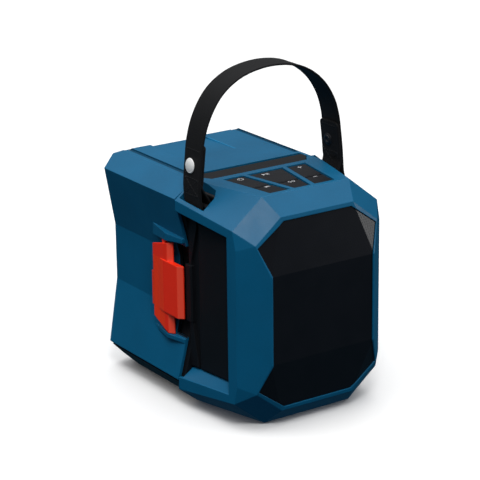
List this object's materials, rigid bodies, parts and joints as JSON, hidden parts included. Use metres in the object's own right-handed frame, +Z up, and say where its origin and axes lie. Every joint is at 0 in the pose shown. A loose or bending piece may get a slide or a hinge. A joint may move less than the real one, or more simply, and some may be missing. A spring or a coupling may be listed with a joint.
{
  "type": "bluetooth speaker",
  "caption": "Faceted portable battery speaker with a webbing carrying strap, a keypad on top and a hinged rear cover held by a side latch.",
  "frame": {"origin": "On the floor plane, on the left-right middle plane, under the seam between the front housing and the rear cover (5 mm behind the housing's rear edge).", "axes": "+Z up; -Y out of the grille (front); +Y out of the rear cover; -X is the side with the latch, +X the side with the cover's hinge."},
  "size_m": [0.1435, 0.1893, 0.2512],
  "materials": {
    "shell_blue": "fine grained moulded blue",
    "shell_black": "fine grained moulded black",
    "grille_black": "black powder coat on punched sheet",
    "latch_red": "satin red orange",
    "webbing_black": "woven webbing",
    "key_grey": "matt silicone with pale printed marks",
    "rubber_black": "matt rubber",
    "snap_grey": "satin painted cap",
    "steel": "zinc plated",
    "steel_black": "black coated steel",
    "ferrite": "dark sintered magnet with plates",
    "cone_black": "coated paper",
    "board_green": "solder mask"
  },
  "bodies": {
    "housing": {"front_housing": "shell_blue", "speaker_grille": "grille_black", "core_chassis": "shell_black", "side_panel_left": "shell_black", "side_panel_right": "shell_black", "top_bar": "shell_black", "battery_rails": "shell_black", "battery_terminals": "shell_black", "aux_socket": "shell_black", "baffle": "shell_black", "cover_seal": "rubber_black", "keypad_mat": "rubber_black", "front_feet": "rubber_black", "driver_surround": "rubber_black", "passive_surround": "rubber_black", "strap_bar_left": "steel_black", "strap_bar_right": "steel_black", "strap_guide_left": "steel_black", "strap_guide_right": "steel_black", "hinge_pin": "steel", "long_screws": "steel", "driver_basket": "steel_black", "driver_magnet": "ferrite", "driver_cone": "cone_black", "driver_dust_cap": "cone_black", "passive_plate": "cone_black", "main_board": "board_green", "key_board": "board_green"},
    "cover": {"rear_cover": "shell_blue", "rear_skid": "shell_black", "latch_pin": "steel"},
    "latch": {"latch": "latch_red"},
    "strap": {"strap": "webbing_black", "strap_snap_left": "snap_grey", "strap_snap_right": "snap_grey"},
    "key_power": {"key_power": "key_grey"},
    "key_source": {"key_source": "key_grey"},
    "key_play": {"key_play": "key_grey"},
    "key_pair": {"key_pair": "key_grey"},
    "key_volume_up": {"key_volume_up": "key_grey"},
    "key_volume_down": {"key_volume_down": "key_grey"}
  },
  "joints": [
    {"name": "cover_hinge", "type": "hinge", "parent": "housing", "child": "cover", "pos_m": [0.0705, -0.0055, 0.088], "axis": [0, 0, -1], "range_deg": [0, 100]},
    {"name": "latch_hinge", "type": "hinge", "parent": "cover", "child": "latch", "pos_m": [-0.0627, 0.02, 0.0855], "axis": [0, 0, -1], "range_deg": [0, 13]},
    {"name": "strap_lean", "type": "hinge", "parent": "housing", "child": "strap", "pos_m": [0, -0.0203, 0.1572], "axis": [1, 0, 0], "range_deg": [-4.5, 4.5]},
    {"name": "key_power_press", "type": "slide", "parent": "housing", "child": "key_power", "axis": [0, 0, -1], "range_m": [0, 0.0006], "stiffness_N_per_m": 1500, "springref_m": -0.0003},
    {"name": "key_source_press", "type": "slide", "parent": "housing", "child": "key_source", "axis": [0, 0, -1], "range_m": [0, 0.0006], "stiffness_N_per_m": 1500, "springref_m": -0.0003},
    {"name": "key_play_press", "type": "slide", "parent": "housing", "child": "key_play", "axis": [0, 0, -1], "range_m": [0, 0.0006], "stiffness_N_per_m": 1500, "springref_m": -0.0003},
    {"name": "key_pair_press", "type": "slide", "parent": "housing", "child": "key_pair", "axis": [0, 0, -1], "range_m": [0, 0.0006], "stiffness_N_per_m": 1500, "springref_m": -0.0003},
    {"name": "key_volume_up_press", "type": "slide", "parent": "housing", "child": "key_volume_up", "axis": [0, 0, -1], "range_m": [0, 0.0006], "stiffness_N_per_m": 1500, "springref_m": -0.0003},
    {"name": "key_volume_down_press", "type": "slide", "parent": "housing", "child": "key_volume_down", "axis": [0, 0, -1], "range_m": [0, 0.0006], "stiffness_N_per_m": 1500, "springref_m": -0.0003}
  ]
}
